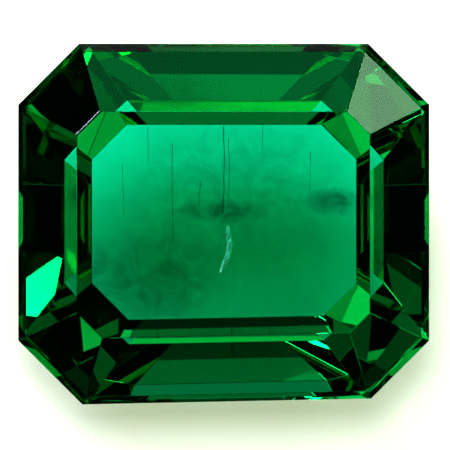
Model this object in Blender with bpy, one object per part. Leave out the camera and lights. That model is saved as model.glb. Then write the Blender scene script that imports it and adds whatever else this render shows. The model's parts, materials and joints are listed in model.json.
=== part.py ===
"""A loose emerald-cut emerald: one eight-sided, step-cut gemstone, standing on its culet.

Metres, +Z up. The table faces +Z, the long sides run along X, and the origin is the
middle of the culet, on the surface that the stone stands on.
"""

import math

import bmesh
import bpy
from mathutils import Vector

MM = 0.001

# Outline at the girdle, the stone's widest line.
GIRDLE_LENGTH = 12.40 * MM
GIRDLE_WIDTH = 10.80 * MM
GIRDLE_CORNER = 1.84 * MM  # what each cut corner takes off both sides
GIRDLE_THICKNESS = 0.21 * MM

# Table, the large flat on top.
TABLE_LENGTH = 8.81 * MM
TABLE_WIDTH = 6.73 * MM
TABLE_CORNER = 0.69 * MM

# Crown, from the girdle up to the table: a narrow lower step and a broad upper one.
CROWN_STEP_INSET = 0.24 * MM
CROWN_STEP_CORNER = 1.70 * MM
CROWN_STEP_RISE = 0.20 * MM
CROWN_MAIN_RISE = 0.91 * MM

# Pavilion, from the girdle down to the culet, in three steps that grow flatter.
UPPER_STEP_LENGTH = 11.57 * MM
UPPER_STEP_WIDTH = 10.08 * MM
UPPER_STEP_CORNER = 1.72 * MM
UPPER_STEP_DROP = 0.67 * MM
MIDDLE_STEP_LENGTH = 8.02 * MM
MIDDLE_STEP_WIDTH = 5.85 * MM
MIDDLE_STEP_CORNER = 1.06 * MM
MIDDLE_STEP_DROP = 2.28 * MM
LOWER_STEP_DROP = 1.09 * MM

# Culet, the small long flat at the bottom.
CULET_LENGTH = 4.10 * MM
CULET_WIDTH = 2.10 * MM
CULET_CORNER = 0.45 * MM

# Directions that the eight sides face. The front one was ground a little out of parallel.
SIDE_AZIMUTHS = (0.0, 45.0, 90.0, 135.0, 180.0, 225.0, 271.2, 315.0)

EMERALD_GREEN = (0.0, 0.33, 0.14, 1.0)
EMERALD_IOR = 1.577


class Level:
    """A height at which two rows of facets meet, and the octagon that they make there."""

    def __init__(self, length, width, corner, height):
        self.half_length = length / 2
        self.half_width = width / 2
        self.half_diagonal = (length / 2 + width / 2 - corner) / math.sqrt(2)
        self.height = height

    def reach(self, azimuth):
        """Distance from the stone's axis to the side that faces the azimuth."""
        quarter = round(azimuth / 45) % 4
        if quarter == 0:
            return self.half_length
        if quarter == 2:
            return self.half_width
        return self.half_diagonal


def crown_levels(girdle_top):
    """Levels from the table down to the girdle's upper edge."""
    step_top = girdle_top + CROWN_STEP_RISE
    return [
        Level(TABLE_LENGTH, TABLE_WIDTH, TABLE_CORNER, step_top + CROWN_MAIN_RISE),
        Level(
            GIRDLE_LENGTH - 2 * CROWN_STEP_INSET,
            GIRDLE_WIDTH - 2 * CROWN_STEP_INSET,
            CROWN_STEP_CORNER,
            step_top,
        ),
        Level(GIRDLE_LENGTH, GIRDLE_WIDTH, GIRDLE_CORNER, girdle_top),
    ]


def pavilion_levels(girdle_bottom):
    """Levels from the girdle's lower edge down to the culet."""
    upper = girdle_bottom - UPPER_STEP_DROP
    middle = upper - MIDDLE_STEP_DROP
    return [
        Level(GIRDLE_LENGTH, GIRDLE_WIDTH, GIRDLE_CORNER, girdle_bottom),
        Level(UPPER_STEP_LENGTH, UPPER_STEP_WIDTH, UPPER_STEP_CORNER, upper),
        Level(MIDDLE_STEP_LENGTH, MIDDLE_STEP_WIDTH, MIDDLE_STEP_CORNER, middle),
        Level(CULET_LENGTH, CULET_WIDTH, CULET_CORNER, middle - LOWER_STEP_DROP),
    ]


def grind_flat(stone, point, normal):
    """Take off all that lies beyond a plane and leave one flat facet there."""
    cut = bmesh.ops.bisect_plane(
        stone,
        geom=stone.verts[:] + stone.edges[:] + stone.faces[:],
        dist=1e-8,
        plane_co=point,
        plane_no=normal,
        clear_outer=True,
    )
    rim = [item for item in cut["geom_cut"] if isinstance(item, bmesh.types.BMEdge)]
    if rim:
        bmesh.ops.contextual_create(stone, geom=rim)


def grind_row(stone, upper, lower):
    """Grind the eight facets between two levels, one for each side."""
    for azimuth in SIDE_AZIMUTHS:
        outward = Vector((math.cos(math.radians(azimuth)), math.sin(math.radians(azimuth)), 0))
        run = lower.reach(azimuth) - upper.reach(azimuth)
        fall = upper.height - lower.height
        normal = (outward * fall + Vector((0, 0, 1)) * run).normalized()
        point = outward * upper.reach(azimuth) + Vector((0, 0, upper.height))
        grind_flat(stone, point, normal)


def rough_block(top):
    """The block that the stone is cut from, a little larger than the finished stone."""
    stone = bmesh.new()
    bmesh.ops.create_cube(stone, size=1.0)
    bmesh.ops.scale(stone, verts=stone.verts[:], vec=(1.2 * GIRDLE_LENGTH, 1.2 * GIRDLE_WIDTH, 1.4 * top))
    bmesh.ops.translate(stone, verts=stone.verts[:], vec=(0, 0, top / 2))
    return stone


def cut_emerald():
    """Cut the block to the table, the crown, the girdle, the pavilion and the culet."""
    girdle_bottom = UPPER_STEP_DROP + MIDDLE_STEP_DROP + LOWER_STEP_DROP
    levels = crown_levels(girdle_bottom + GIRDLE_THICKNESS) + pavilion_levels(girdle_bottom)
    stone = rough_block(levels[0].height)
    for upper, lower in zip(levels, levels[1:]):
        grind_row(stone, upper, lower)
    grind_flat(stone, Vector((0, 0, levels[0].height)), Vector((0, 0, 1)))
    grind_flat(stone, Vector((0, 0, 0)), Vector((0, 0, -1)))
    bmesh.ops.recalc_face_normals(stone, faces=stone.faces[:])
    mesh = bpy.data.meshes.new("cut_emerald")
    stone.to_mesh(mesh)
    stone.free()
    return mesh


def emerald_material():
    """Clear green beryl with polished faces."""
    material = bpy.data.materials.new("emerald")
    material.use_nodes = True
    shader = material.node_tree.nodes["Principled BSDF"]
    shader.inputs["Base Color"].default_value = EMERALD_GREEN
    shader.inputs["Metallic"].default_value = 0.0
    shader.inputs["Roughness"].default_value = 0.03
    shader.inputs["IOR"].default_value = EMERALD_IOR
    shader.inputs["Transmission Weight"].default_value = 1.0
    return material


for old in list(bpy.data.objects):
    bpy.data.objects.remove(old)

gemstone = bpy.data.collections.new("emerald_cut_gemstone")
bpy.context.scene.collection.children.link(gemstone)
emerald = bpy.data.objects.new("cut_emerald", cut_emerald())
emerald.data.materials.append(emerald_material())
gemstone.objects.link(emerald)
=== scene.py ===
"""A loose emerald-cut emerald, table up on white: its polish, its flaws, and how it is lit and seen."""
import json
import math
import random

import bpy
from mathutils import Matrix, Vector

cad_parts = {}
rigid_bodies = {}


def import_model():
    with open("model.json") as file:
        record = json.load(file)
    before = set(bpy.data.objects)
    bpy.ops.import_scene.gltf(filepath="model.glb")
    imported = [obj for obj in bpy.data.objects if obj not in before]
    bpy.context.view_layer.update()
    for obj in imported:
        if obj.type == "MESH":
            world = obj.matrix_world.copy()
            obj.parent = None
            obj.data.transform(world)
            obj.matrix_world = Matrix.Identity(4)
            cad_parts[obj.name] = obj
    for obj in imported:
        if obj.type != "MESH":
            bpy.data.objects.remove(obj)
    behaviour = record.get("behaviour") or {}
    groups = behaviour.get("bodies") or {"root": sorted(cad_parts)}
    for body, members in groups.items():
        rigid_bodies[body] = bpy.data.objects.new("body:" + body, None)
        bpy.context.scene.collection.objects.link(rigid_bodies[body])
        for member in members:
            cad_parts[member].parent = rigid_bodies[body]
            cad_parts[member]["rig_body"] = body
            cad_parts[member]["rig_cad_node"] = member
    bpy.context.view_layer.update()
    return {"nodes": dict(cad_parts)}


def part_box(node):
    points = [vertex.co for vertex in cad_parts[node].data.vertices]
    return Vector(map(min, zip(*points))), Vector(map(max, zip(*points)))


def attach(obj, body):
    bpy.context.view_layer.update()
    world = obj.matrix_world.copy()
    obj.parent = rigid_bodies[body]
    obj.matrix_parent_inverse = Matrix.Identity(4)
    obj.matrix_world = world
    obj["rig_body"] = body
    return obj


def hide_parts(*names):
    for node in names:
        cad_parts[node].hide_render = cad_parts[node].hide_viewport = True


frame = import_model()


# Camera. It looks straight down on the table from far off, as for a catalogue picture of a loose stone.
# It leans a hair towards the stone's back, so the facets under the girdle show unevenly.
stone_low, stone_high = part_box("cut_emerald")
PHOTO_SIDE = 450
PHOTO_STONE_LENGTH = 411
PHOTO_STONE_CENTRE = (223.7, 222.7)
CAMERA_LEAN = math.radians(1.57)
CAMERA_LEAN_TOWARDS = math.radians(75)
CAMERA_DISTANCE = 0.30
CAMERA_NEAREST = 0.01
CAMERA_FARTHEST = 5.0
GIRDLE_HEIGHT = 0.00425

pixel = (stone_high.x - stone_low.x) / PHOTO_STONE_LENGTH
to_camera = Vector(
    (
        math.sin(CAMERA_LEAN) * math.cos(CAMERA_LEAN_TOWARDS),
        math.sin(CAMERA_LEAN) * math.sin(CAMERA_LEAN_TOWARDS),
        math.cos(CAMERA_LEAN),
    )
)
camera_right = Vector((0, 1, 0)).cross(to_camera).normalized()
camera_up = to_camera.cross(camera_right)
aim = Vector((0, 0, GIRDLE_HEIGHT))
aim += camera_right * (PHOTO_SIDE / 2 - PHOTO_STONE_CENTRE[0]) * pixel
aim -= camera_up * (PHOTO_SIDE / 2 - PHOTO_STONE_CENTRE[1]) * pixel

bpy.ops.object.camera_add()
camera = bpy.context.object
camera.name = "catalogue_camera"
camera.matrix_world = Matrix.Translation(aim + to_camera * CAMERA_DISTANCE) @ (
    Matrix((camera_right, camera_up, to_camera)).transposed().to_4x4()
)
camera.data.lens = camera.data.sensor_width * CAMERA_DISTANCE / (PHOTO_SIDE * pixel)
camera.data.clip_start = CAMERA_NEAREST
camera.data.clip_end = CAMERA_FARTHEST
bpy.context.scene.camera = camera


# Glowing sheet. A broad sheet of matt white acrylic with a rounded rim, which runs out of view all
# round; far from the stone it glows fully white.
# Near the stone its glow is painted shade and light: dim and yellow-green under the stone's front as a
# painted shadow, brighter under its back, with a brighter painted band behind the stone in place of a
# tube lamp.
SHEET_SIZE = 1.2
SHEET_THICKNESS = 0.004
SHEET_RIM = 0.001
SHEET_GAP = 0.00003  # the culet just clears the sheet, so that light reaches it under the culet too
# painted shade: the sheet glows dimmer under the stone's front than under its back, in place of the
# stone's shadow
PAINTED_SHADE_GLOW_FRONT, PAINTED_SHADE_GLOW_BACK = 0.32, 0.78  # brightness under the stone's front and under its back
PAINTED_SHADE_FRONT_Y, PAINTED_SHADE_BACK_Y = -0.0012, 0.0026
FULL_GLOW_FROM, FULL_GLOW_AT = 0.04, 0.20  # away from the stone the sheet grows fully bright
# painted light: a brighter band in the sheet's glow behind the stone, standing in for a tube lamp
PAINTED_LAMP_BAND_Y = 0.0140
PAINTED_LAMP_BAND_REACH = 0.0060
PAINTED_LAMP_BAND_BRIGHTNESS = 1.0

bpy.ops.object.select_all(action="DESELECT")
bpy.ops.mesh.primitive_plane_add(size=SHEET_SIZE, location=(0, 0, -SHEET_GAP))
sheet = bpy.context.object
sheet.name = "sheet_with_painted_glow"
bpy.ops.object.mode_set(mode="EDIT")
bpy.ops.mesh.select_all(action="SELECT")
bpy.ops.mesh.extrude_region_move(TRANSFORM_OT_translate={"value": (0, 0, -SHEET_THICKNESS)})
bpy.ops.mesh.select_all(action="SELECT")
bpy.ops.mesh.bevel(offset=SHEET_RIM, segments=3, affect="EDGES")
bpy.ops.mesh.select_all(action="SELECT")
bpy.ops.mesh.normals_make_consistent(inside=False)
bpy.ops.object.mode_set(mode="OBJECT")
bpy.ops.object.transform_apply(location=True, rotation=True, scale=True)

# the sheet's material; its glow carries the painted shadow and the painted bright band
acrylic = bpy.data.materials.new("acrylic_with_painted_glow")
acrylic.use_nodes = True
nodes, links = acrylic.node_tree.nodes, acrylic.node_tree.links
surface = nodes["Principled BSDF"]
surface.inputs["Base Color"].default_value = (0.9, 0.9, 0.9, 1)
surface.inputs["Specular IOR Level"].default_value = 0.1
place = nodes.new("ShaderNodeTexCoord")
grain = nodes.new("ShaderNodeTexNoise")
grain.inputs["Scale"].default_value = 2600.0
grain.inputs["Detail"].default_value = 3.0
links.new(place.outputs["Object"], grain.inputs["Vector"])
grain_roughness = nodes.new("ShaderNodeMapRange")
grain_roughness.inputs["To Min"].default_value = 0.72
grain_roughness.inputs["To Max"].default_value = 0.88
links.new(grain.outputs["Fac"], grain_roughness.inputs["Value"])
links.new(grain_roughness.outputs["Result"], surface.inputs["Roughness"])
grain_relief = nodes.new("ShaderNodeBump")
grain_relief.inputs["Strength"].default_value = 0.05
grain_relief.inputs["Distance"].default_value = 0.00003
links.new(grain.outputs["Fac"], grain_relief.inputs["Height"])
links.new(grain_relief.outputs["Normal"], surface.inputs["Normal"])
split = nodes.new("ShaderNodeSeparateXYZ")
links.new(place.outputs["Object"], split.inputs["Vector"])
# painted shade: the glow rises from dim under the stone's front to brighter under its back
painted_shade_glow = nodes.new("ShaderNodeMapRange")
painted_shade_glow.interpolation_type = "SMOOTHSTEP"
painted_shade_glow.inputs["From Min"].default_value = PAINTED_SHADE_FRONT_Y
painted_shade_glow.inputs["From Max"].default_value = PAINTED_SHADE_BACK_Y
painted_shade_glow.inputs["To Min"].default_value = PAINTED_SHADE_GLOW_FRONT
painted_shade_glow.inputs["To Max"].default_value = PAINTED_SHADE_GLOW_BACK
links.new(split.outputs["Y"], painted_shade_glow.inputs["Value"])
from_stone = nodes.new("ShaderNodeVectorMath")
from_stone.operation = "LENGTH"
links.new(place.outputs["Object"], from_stone.inputs[0])
far_glow = nodes.new("ShaderNodeMapRange")
far_glow.interpolation_type = "SMOOTHSTEP"
far_glow.inputs["From Min"].default_value = FULL_GLOW_FROM
far_glow.inputs["From Max"].default_value = FULL_GLOW_AT
links.new(from_stone.outputs["Value"], far_glow.inputs["Value"])
# the larger of the painted shade glow and the full glow far off
brightness = nodes.new("ShaderNodeMath")
brightness.operation = "MAXIMUM"
links.new(painted_shade_glow.outputs["Result"], brightness.inputs[0])
links.new(far_glow.outputs["Result"], brightness.inputs[1])
# painted bright band in the glow behind the stone
painted_lamp_band = nodes.new("ShaderNodeMath")
painted_lamp_band.operation = "COMPARE"
painted_lamp_band.inputs[1].default_value = PAINTED_LAMP_BAND_Y
painted_lamp_band.inputs[2].default_value = PAINTED_LAMP_BAND_REACH
links.new(split.outputs["Y"], painted_lamp_band.inputs[0])
painted_lamp_band_glow = nodes.new("ShaderNodeMath")
painted_lamp_band_glow.operation = "MULTIPLY_ADD"
painted_lamp_band_glow.inputs[1].default_value = PAINTED_LAMP_BAND_BRIGHTNESS
links.new(painted_lamp_band.outputs["Value"], painted_lamp_band_glow.inputs[0])
links.new(brightness.outputs["Value"], painted_lamp_band_glow.inputs[2])
links.new(painted_lamp_band_glow.outputs["Value"], surface.inputs["Emission Strength"])
# painted shadow tint: the glow is yellow-green under the stone's front, paler under its back and white
# far off
painted_shadow_tint = nodes.new("ShaderNodeValToRGB")
painted_shadow_tint.color_ramp.elements[0].position = PAINTED_SHADE_GLOW_FRONT
painted_shadow_tint.color_ramp.elements[0].color = (0.9, 1.0, 0.50, 1)
painted_shadow_tint.color_ramp.elements[1].position = PAINTED_SHADE_GLOW_BACK
painted_shadow_tint.color_ramp.elements[1].color = (0.9, 1.0, 0.78, 1)
lit_white = painted_shadow_tint.color_ramp.elements.new(1.0)
lit_white.color = (1, 1, 1, 1)
links.new(brightness.outputs["Value"], painted_shadow_tint.inputs["Fac"])
links.new(painted_shadow_tint.outputs["Color"], surface.inputs["Emission Color"])
sheet.data.materials.append(acrylic)


# Lights. Softboxes and small reflectors stand round the stone, each given by where it stands.
# Those that only light the sheet are kept out of the facets, as black flags do beside a real stone.
LIGHT_DISTANCE = 0.30
VIEW_GAMMA = 0.85
MOST_BOUNCES = 32


def softbox(name, azimuth, elevation, wide, high, brightness, colour=(1, 1, 1), for_sheet_only=False):
    """Add a soft area light; azimuth, elevation, wide and high are angles seen from the stone."""
    turn, rise = math.radians(azimuth), math.radians(elevation)
    outward = Vector(
        (math.cos(rise) * math.cos(turn), math.cos(rise) * math.sin(turn), math.sin(rise))
    )
    side = Vector((-math.sin(turn), math.cos(turn), 0))
    bpy.ops.object.light_add(type="AREA")
    light = bpy.context.object
    light.name = name
    light.matrix_world = Matrix.Translation(outward * LIGHT_DISTANCE) @ (
        Matrix((side, outward.cross(side), outward)).transposed().to_4x4()
    )
    light.data.shape = "RECTANGLE"
    light.data.size = 2 * LIGHT_DISTANCE * math.tan(math.radians(wide / 2))
    light.data.size_y = 2 * LIGHT_DISTANCE * math.tan(math.radians(high / 2))
    light.data.energy = brightness * math.pi * light.data.size * light.data.size_y
    light.data.color = colour
    light.visible_camera = False
    light.visible_glossy = not for_sheet_only
    light.visible_transmission = not for_sheet_only


# Over the stone and high behind it: these make the sheet white and the stone's soft shadow.
softbox("overhead_softbox", 0, 90, 70, 70, 0.8, for_sheet_only=True)
softbox("key_softbox", 95, 77, 14, 14, 25.0, for_sheet_only=True)
softbox("back_softbox", 90, 27, 60, 25, 3.0, for_sheet_only=True)
# The rest are mirrored or passed on by single facets. A sheet of green paper stands behind the stone.
softbox("green_paper_lid", 90, 35, 18, 12, 1.7, (0.02, 1, 0.28))
softbox("front_strip", 270, 61, 15, 13, 0.56)
softbox("front_left_panel", 240, 35, 16, 13, 0.2)
softbox("front_right_panel", 300, 35, 16, 13, 0.2)
softbox("left_panel", 180, 36, 17, 11, 1.1)
softbox("left_back_card", 160, 35, 17, 13, 0.2)
softbox("left_front_card", 200, 35, 17, 13, 0.2)
softbox("low_left_card", 200, 22, 18, 14, 2.4)
softbox("left_back_window", 131, 48, 10, 14, 12.0, (0.8, 1, 1.25))
softbox("low_left_back_card", 160, 22, 18, 14, 2.2)
softbox("right_back_window", 44, 34, 9, 9, 7.0, (0.48, 1, 0.56))
softbox("low_right_card", 24, 29, 6, 9, 1.6)
softbox("high_right_card", 8, 41, 6, 5, 1.4)
softbox("right_front_card", 337, 49, 12, 9, 0.3)
softbox("right_glint", 50, 43, 5, 5, 0.35)
softbox("top_back_left", 108, 74, 10, 12, 0.42)
softbox("top_back_right", 72, 74, 10, 12, 0.44)
softbox("top_back_gap", 90, 61, 15, 9, 0.06)
softbox("top_front", 270, 74, 20, 12, 0.46)
softbox("low_back_panel", 94, 8, 26, 16, 0.4)

room = bpy.data.worlds.new("dark_room")
bpy.context.scene.world = room
room.use_nodes = True
nodes, links = room.node_tree.nodes, room.node_tree.links
dim_air = nodes["Background"]
dim_air.inputs["Color"].default_value = (0.9, 1.0, 0.95, 1)
dim_air.inputs["Strength"].default_value = 0.004
pale_backdrop = nodes.new("ShaderNodeBackground")
pale_backdrop.inputs["Color"].default_value = (1, 1, 1, 1)
pale_backdrop.inputs["Strength"].default_value = 1.0
which_ray = nodes.new("ShaderNodeLightPath")
seen_or_lit = nodes.new("ShaderNodeMixShader")
links.new(which_ray.outputs["Is Camera Ray"], seen_or_lit.inputs["Fac"])
links.new(dim_air.outputs["Background"], seen_or_lit.inputs[1])
links.new(pale_backdrop.outputs["Background"], seen_or_lit.inputs[2])
links.new(seen_or_lit.outputs["Shader"], nodes["World Output"].inputs["Surface"])
bpy.context.scene.view_settings.view_transform = "Standard"
bpy.context.scene.view_settings.gamma = VIEW_GAMMA
bpy.context.scene.cycles.max_bounces = MOST_BOUNCES
bpy.context.scene.cycles.glossy_bounces = MOST_BOUNCES
bpy.context.scene.cycles.transmission_bounces = MOST_BOUNCES
bpy.context.scene.cycles.transparent_max_bounces = MOST_BOUNCES


# Gemstone. A single crystal of green beryl, ground flat by flat and polished to a mirror finish.
# Its facet edges are very slightly worn, most of all the left back corner of the table.
# The colour comes from what the crystal absorbs.
EDGE_WEAR = 0.000012
TABLE_CORNER_WEAR = 0.000045
SHORTEST_SLANT = 0.0001

bpy.ops.object.select_all(action="DESELECT")
frame["nodes"]["cut_emerald"].select_set(True)
bpy.context.view_layer.objects.active = frame["nodes"]["cut_emerald"]
bpy.ops.object.duplicate()
gemstone = bpy.context.object
gemstone.name = "gemstone"
gemstone.parent = None
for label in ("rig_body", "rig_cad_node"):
    if label in gemstone:
        del gemstone[label]
bpy.ops.object.mode_set(mode="EDIT")
bpy.ops.mesh.select_mode(type="EDGE")
bpy.ops.mesh.select_all(action="SELECT")
bpy.ops.mesh.remove_doubles(threshold=1e-7)
bpy.ops.mesh.dissolve_limited(angle_limit=math.radians(0.5))
bpy.ops.mesh.select_all(action="DESELECT")
bpy.ops.object.mode_set(mode="OBJECT")
for edge in gemstone.data.edges:
    a, b = (gemstone.data.vertices[k].co for k in edge.vertices)
    in_table = min(a.z, b.z) > stone_high.z - 1e-6
    slanted = abs(a.x - b.x) > SHORTEST_SLANT and abs(a.y - b.y) > SHORTEST_SLANT
    edge.select = in_table and slanted and a.x < 0 and a.y > 0
bpy.ops.object.mode_set(mode="EDIT")
bpy.ops.mesh.bevel(offset=TABLE_CORNER_WEAR, segments=2, affect="EDGES", clamp_overlap=True)
bpy.ops.mesh.select_all(action="SELECT")
bpy.ops.mesh.bevel(offset=EDGE_WEAR, segments=2, affect="EDGES", clamp_overlap=True)
bpy.ops.mesh.select_all(action="SELECT")
bpy.ops.mesh.normals_make_consistent(inside=False)
bpy.ops.object.mode_set(mode="OBJECT")
bpy.ops.object.shade_flat()

EMERALD_IOR = 1.577
ABSORPTION = 1500.0
TRANSMITTED_TINT = (0.0, 0.95, 0.87, 1)

emerald = bpy.data.materials.new("emerald")
emerald.use_nodes = True
nodes, links = emerald.node_tree.nodes, emerald.node_tree.links
crystal = nodes["Principled BSDF"]
crystal.inputs["Base Color"].default_value = (1, 1, 1, 1)
crystal.inputs["Transmission Weight"].default_value = 1.0
crystal.inputs["IOR"].default_value = EMERALD_IOR
place = nodes.new("ShaderNodeTexCoord")
polish = nodes.new("ShaderNodeTexNoise")
polish.inputs["Scale"].default_value = 900.0
polish.inputs["Detail"].default_value = 4.0
links.new(place.outputs["Object"], polish.inputs["Vector"])
polish_roughness = nodes.new("ShaderNodeMapRange")
polish_roughness.inputs["From Min"].default_value = 0.45
polish_roughness.inputs["From Max"].default_value = 0.75
polish_roughness.inputs["To Min"].default_value = 0.0
polish_roughness.inputs["To Max"].default_value = 0.035
links.new(polish.outputs["Fac"], polish_roughness.inputs["Value"])
links.new(polish_roughness.outputs["Result"], crystal.inputs["Roughness"])
body_colour = nodes.new("ShaderNodeVolumeAbsorption")
body_colour.inputs["Color"].default_value = TRANSMITTED_TINT
body_colour.inputs["Density"].default_value = ABSORPTION
links.new(body_colour.outputs["Volume"], nodes["Material Output"].inputs["Volume"])
gemstone.data.materials.clear()
gemstone.data.materials.append(emerald)
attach(gemstone, "root")
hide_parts("cut_emerald")


# Growth tubes. Fine hollow needles that the crystal grew round; they run across the stone's width.
# They look like dark hairs through the table. Each is a tapered tube with a slight sway.
TUBES = (
    # x, start y, z, length, radius
    (0.00000, 0.00290, 0.0041, 0.00262, 0.000013),
    (0.00014, 0.00255, 0.0037, 0.00205, 0.000009),
    (-0.00155, 0.00240, 0.0039, 0.00300, 0.000008),
    (-0.00305, 0.00180, 0.0036, 0.00160, 0.000007),
    (0.00262, 0.00215, 0.0038, 0.00130, 0.000008),
    (-0.00070, 0.00125, 0.0040, 0.00075, 0.000009),
    (0.00118, 0.00300, 0.0037, 0.00090, 0.000007),
    (-0.00228, 0.00290, 0.0038, 0.00110, 0.000007),
)
TUBE_JOINTS = 7

dice = random.Random(11)
tubes = []
for number, (x, y, z, length, radius) in enumerate(TUBES):
    bpy.ops.object.select_all(action="DESELECT")
    bpy.ops.mesh.primitive_circle_add(
        vertices=7,
        radius=radius,
        fill_type="NGON",
        location=(x, y, z),
        rotation=(math.radians(90), 0, 0),
    )
    tube = bpy.context.object
    tube.name = f"growth_tube_{number}"
    bpy.ops.object.mode_set(mode="EDIT")
    bpy.ops.mesh.select_all(action="SELECT")
    for step in range(TUBE_JOINTS):
        sway = dice.uniform(-2.2, 2.2) * radius
        bpy.ops.mesh.extrude_region_move(
            TRANSFORM_OT_translate={"value": (sway, -length / TUBE_JOINTS, sway / 2)}
        )
        bpy.ops.transform.resize(value=(dice.uniform(0.8, 1.12),) * 3)
    bpy.ops.mesh.select_all(action="SELECT")
    bpy.ops.mesh.normals_make_consistent(inside=False)
    bpy.ops.object.mode_set(mode="OBJECT")
    tubes.append(tube)
bpy.ops.object.select_all(action="DESELECT")
for tube in tubes:
    tube.select_set(True)
bpy.context.view_layer.objects.active = tubes[0]
bpy.ops.object.join()
tubes = bpy.context.object
tubes.name = "growth_tubes"
bpy.ops.object.transform_apply(location=True, rotation=True, scale=True)
bpy.ops.object.shade_smooth()

tube_wall = bpy.data.materials.new("growth_tube")
tube_wall.use_nodes = True
nodes, links = tube_wall.node_tree.nodes, tube_wall.node_tree.links
wall = nodes["Principled BSDF"]
wall.inputs["Roughness"].default_value = 0.5
place = nodes.new("ShaderNodeTexCoord")
stain = nodes.new("ShaderNodeTexNoise")
stain.inputs["Scale"].default_value = 4000.0
links.new(place.outputs["Object"], stain.inputs["Vector"])
stain_colour = nodes.new("ShaderNodeValToRGB")
stain_colour.color_ramp.elements[0].position = 0.35
stain_colour.color_ramp.elements[0].color = (0.002, 0.010, 0.003, 1)
stain_colour.color_ramp.elements[1].position = 0.70
stain_colour.color_ramp.elements[1].color = (0.02, 0.14, 0.06, 1)
links.new(stain.outputs["Fac"], stain_colour.inputs["Fac"])
links.new(stain_colour.outputs["Color"], wall.inputs["Base Color"])
tubes.data.materials.append(tube_wall)
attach(tubes, "root")


# Feather. A small healed crack inside the crystal, under the middle of the table; it glints pale.
# It grew with the stone. Here it is a thin, ragged flake, tilted so that it throws light up.
FEATHER_START = (0.00012, -0.00008, 0.0046)
FEATHER_LENGTH = 0.00142
FEATHER_RISE = 0.00022
FEATHER_TILT = math.radians(-8.9)
FEATHER_ROOT = 0.00008
FEATHER_RAGGEDNESS = 0.000006
FEATHER_STEPS = (
    # sideways drift, change of size
    (0.00001, 1.5),
    (0.00002, 1.2),
    (0.00003, 1.1),
    (-0.00001, 0.9),
    (-0.00004, 1.05),
    (-0.00008, 1.1),
    (-0.00007, 0.8),
    (-0.00006, 0.5),
)

bpy.ops.object.select_all(action="DESELECT")
bpy.ops.mesh.primitive_plane_add(
    size=FEATHER_ROOT, location=FEATHER_START, rotation=(math.radians(90), FEATHER_TILT, 0)
)
feather = bpy.context.object
feather.name = "feather"
bpy.ops.object.mode_set(mode="EDIT")
bpy.ops.mesh.select_all(action="SELECT")
bpy.ops.transform.resize(value=(1.0, 1.0, 0.3))
for drift, spread in FEATHER_STEPS:
    bpy.ops.mesh.extrude_region_move(
        TRANSFORM_OT_translate={
            "value": (
                drift,
                -FEATHER_LENGTH / len(FEATHER_STEPS),
                FEATHER_RISE / len(FEATHER_STEPS),
            )
        }
    )
    bpy.ops.transform.resize(value=(spread, 1.0, 1.0))
bpy.ops.mesh.select_all(action="SELECT")
bpy.ops.mesh.subdivide(number_cuts=1)
bpy.ops.transform.vertex_random(offset=FEATHER_RAGGEDNESS, seed=4)
bpy.ops.mesh.normals_make_consistent(inside=False)
bpy.ops.object.mode_set(mode="OBJECT")
bpy.ops.object.transform_apply(location=True, rotation=True, scale=True)

healed_crack = bpy.data.materials.new("healed_crack")
healed_crack.use_nodes = True
nodes, links = healed_crack.node_tree.nodes, healed_crack.node_tree.links
flake = nodes["Principled BSDF"]
flake.inputs["Base Color"].default_value = (0.95, 1.0, 0.65, 1)
flake.inputs["Metallic"].default_value = 1.0
place = nodes.new("ShaderNodeTexCoord")
ragged = nodes.new("ShaderNodeTexNoise")
ragged.inputs["Scale"].default_value = 9000.0
ragged.inputs["Detail"].default_value = 4.0
links.new(place.outputs["Object"], ragged.inputs["Vector"])
ragged_roughness = nodes.new("ShaderNodeMapRange")
ragged_roughness.inputs["To Min"].default_value = 0.2
ragged_roughness.inputs["To Max"].default_value = 0.45
links.new(ragged.outputs["Fac"], ragged_roughness.inputs["Value"])
links.new(ragged_roughness.outputs["Result"], flake.inputs["Roughness"])
feather.data.materials.append(healed_crack)
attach(feather, "root")


# Veils. Soft dark lenses in the crystal: a long one under the middle of the table, one at its right, a
# broad one at its left front and a faint one all over.
# The long one and the broad one are painted shade that darkens the window where it lies in shade; the
# one at the right darkens the window there, and the faint one is a smoky cloud of pinpoint flaws. Each
# is a thin lens.
SHADE_AND_FLAW_VEILS = (
    # x, y, z, half length, half width, density at the middle
    (-0.00006, 0.00036, 0.0036, 0.00165, 0.00040, 0.58),
    (0.00335, 0.00062, 0.0034, 0.00100, 0.00048, 0.65),
    (-0.00235, -0.00170, 0.0030, 0.00280, 0.00160, 0.50),
    (0.00030, 0.00080, 0.0033, 0.00420, 0.00280, 0.24),
)
VEIL_STEP = 0.00001
VEIL_RINGS = (0.3, 0.55, 0.8, 1.0, 0.8, 0.55, 0.3)

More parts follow.
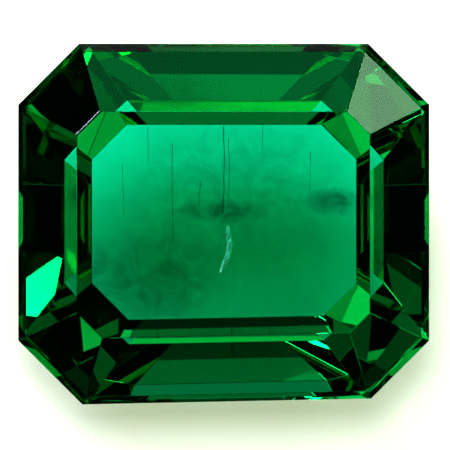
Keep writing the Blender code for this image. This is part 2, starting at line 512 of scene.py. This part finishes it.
shade_and_flaw_veils = []
for number, (x, y, z, half_length, half_width, density) in enumerate(SHADE_AND_FLAW_VEILS):
    bpy.ops.object.select_all(action="DESELECT")
    bpy.ops.mesh.primitive_circle_add(vertices=28, radius=1.0, fill_type="NGON", location=(x, y, z))
    shade_and_flaw_veil = bpy.context.object
    shade_and_flaw_veil.name = f"veil_{number}"
    bpy.ops.object.mode_set(mode="EDIT")
    bpy.ops.mesh.select_all(action="SELECT")
    bpy.ops.transform.resize(value=(half_length * VEIL_RINGS[0], half_width * VEIL_RINGS[0], 1.0))
    for inner, outer in zip(VEIL_RINGS, VEIL_RINGS[1:]):
        bpy.ops.mesh.extrude_region_move(TRANSFORM_OT_translate={"value": (0, 0, VEIL_STEP)})
        bpy.ops.transform.resize(value=(outer / inner, outer / inner, 1.0))
    bpy.ops.mesh.select_all(action="SELECT")
    bpy.ops.mesh.normals_make_consistent(inside=False)
    bpy.ops.object.mode_set(mode="OBJECT")
    bpy.ops.object.transform_apply(location=True, rotation=True, scale=True)
    shade_and_flaw_cloud = shade_and_flaw_veil.data.attributes.new("shade_and_flaw_cloud", "FLOAT", "POINT")
    for vertex in shade_and_flaw_veil.data.vertices:
        out = math.hypot((vertex.co.x - x) / half_length, (vertex.co.y - y) / half_width)
        shade_and_flaw_cloud.data[vertex.index].value = density * max(0.0, 1.0 - out)
    shade_and_flaw_veils.append(shade_and_flaw_veil)
bpy.ops.object.select_all(action="DESELECT")
for shade_and_flaw_veil in shade_and_flaw_veils:
    shade_and_flaw_veil.select_set(True)
bpy.context.view_layer.objects.active = shade_and_flaw_veils[0]
bpy.ops.object.join()
shade_and_flaw_veils = bpy.context.object
shade_and_flaw_veils.name = "shade_and_flaw_veils"
bpy.ops.object.shade_smooth()

# painted shade and flaw cloud: a dark green haze whose see-through amount follows each veil's density
painted_shade_and_flaw_smoke = bpy.data.materials.new("shade_and_flaw_veil")
painted_shade_and_flaw_smoke.use_nodes = True
nodes, links = painted_shade_and_flaw_smoke.node_tree.nodes, painted_shade_and_flaw_smoke.node_tree.links
painted_shade_and_flaw_haze = nodes["Principled BSDF"]
painted_shade_and_flaw_haze.inputs["Base Color"].default_value = (0.004, 0.05, 0.008, 1)
painted_shade_and_flaw_haze.inputs["Roughness"].default_value = 0.7
painted_shade_and_flaw_haze.inputs["Specular IOR Level"].default_value = 0.0
shade_and_flaw_cloud = nodes.new("ShaderNodeAttribute")
shade_and_flaw_cloud.attribute_name = "shade_and_flaw_cloud"
place = nodes.new("ShaderNodeTexCoord")
wisps = nodes.new("ShaderNodeTexNoise")
wisps.inputs["Scale"].default_value = 1100.0
wisps.inputs["Detail"].default_value = 8.0
wisps.inputs["Roughness"].default_value = 0.65
wisps.inputs["Distortion"].default_value = 1.2
links.new(place.outputs["Object"], wisps.inputs["Vector"])
wisp_range = nodes.new("ShaderNodeMapRange")
wisp_range.inputs["From Min"].default_value = 0.30
wisp_range.inputs["From Max"].default_value = 0.65
wisp_range.inputs["To Min"].default_value = 0.05
links.new(wisps.outputs["Fac"], wisp_range.inputs["Value"])
thickness = nodes.new("ShaderNodeMath")
thickness.operation = "MULTIPLY"
links.new(shade_and_flaw_cloud.outputs["Fac"], thickness.inputs[0])
links.new(wisp_range.outputs["Result"], thickness.inputs[1])
links.new(thickness.outputs["Value"], painted_shade_and_flaw_haze.inputs["Alpha"])
shade_and_flaw_veils.data.materials.append(painted_shade_and_flaw_smoke)
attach(shade_and_flaw_veils, "root")
